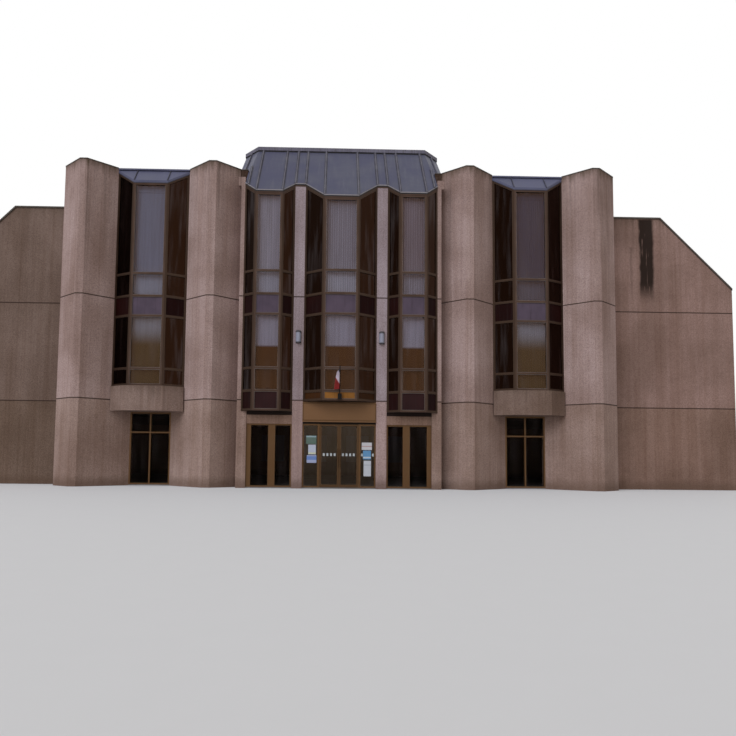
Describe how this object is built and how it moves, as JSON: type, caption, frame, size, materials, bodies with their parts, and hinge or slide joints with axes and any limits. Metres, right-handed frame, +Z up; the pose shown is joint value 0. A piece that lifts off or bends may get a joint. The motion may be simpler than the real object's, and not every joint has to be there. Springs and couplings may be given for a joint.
{
  "type": "town hall building",
  "caption": "Town hall of exposed concrete with canted glazed bays between faceted piers, a steep seamed metal roof and a pair of hinged glazed entrance doors.",
  "frame": {"origin": "on the paving, under the middle of the building's bounding box", "axes": "+X along the front to the right, -Y out of the front, +Z up"},
  "size_m": [32.74, 14.7767, 14.2],
  "materials": {
    "exposed_concrete": "matt",
    "floor_concrete": "matt",
    "tinted_glass": "gloss",
    "door_glass": "gloss",
    "gold_bronze": "satin",
    "dark_bronze": "satin",
    "spandrel_panel": "satin",
    "seamed_metal": "matt",
    "coping_metal": "matt",
    "light_housing": "satin",
    "flag_cloth": "matt"
  },
  "bodies": {
    "building": {"bay_aprons": "exposed_concrete", "bay_roofs": "seamed_metal", "centre_bay_frame": "dark_bronze", "centre_bays_glass": "tinted_glass", "centre_bays_panels": "spandrel_panel", "column_left": "exposed_concrete", "column_right": "exposed_concrete", "end_walls": "exposed_concrete", "entrance_glass": "tinted_glass", "entrance_head": "gold_bronze", "first_floor": "floor_concrete", "flag": "flag_cloth", "flag_holder": "dark_bronze", "ground_floor": "floor_concrete", "inner_pier_left": "exposed_concrete", "inner_pier_right": "exposed_concrete", "main_deck": "floor_concrete", "mansard_roof": "seamed_metal", "outer_bay_frames": "dark_bronze", "outer_bays_glass": "tinted_glass", "outer_bays_panels": "spandrel_panel", "outer_pier_left": "exposed_concrete", "outer_pier_right": "exposed_concrete", "parapets": "exposed_concrete", "rear_wall": "exposed_concrete", "rear_window_frames": "dark_bronze", "rear_window_glass": "tinted_glass", "recess_glass": "tinted_glass", "recess_screens": "gold_bronze", "roof_coping": "coping_metal", "second_floor": "floor_concrete", "side_bay_frames": "dark_bronze", "side_beams": "exposed_concrete", "side_screens": "gold_bronze", "sidelight_frames": "gold_bronze", "sign_fascia": "gold_bronze", "wall_lights": "light_housing", "wing_copings": "coping_metal", "wing_roofs": "seamed_metal", "wing_wall_left": "exposed_concrete", "wing_wall_right": "exposed_concrete"},
    "door_left": {"door_leaf_left": "gold_bronze", "door_pane_left": "door_glass"},
    "door_right": {"door_leaf_right": "gold_bronze", "door_pane_right": "door_glass"}
  },
  "joints": [
    {"name": "door_right_hinge", "type": "hinge", "parent": "building", "child": "door_right", "pos_m": [0.7425, -6.56162, 0.05], "axis": [0, 0, 1], "range_deg": [0, 90]},
    {"name": "door_left_hinge", "type": "hinge", "parent": "building", "child": "door_left", "pos_m": [-0.7425, -6.56162, 0.05], "axis": [0, 0, -1], "range_deg": [0, 90]}
  ]
}
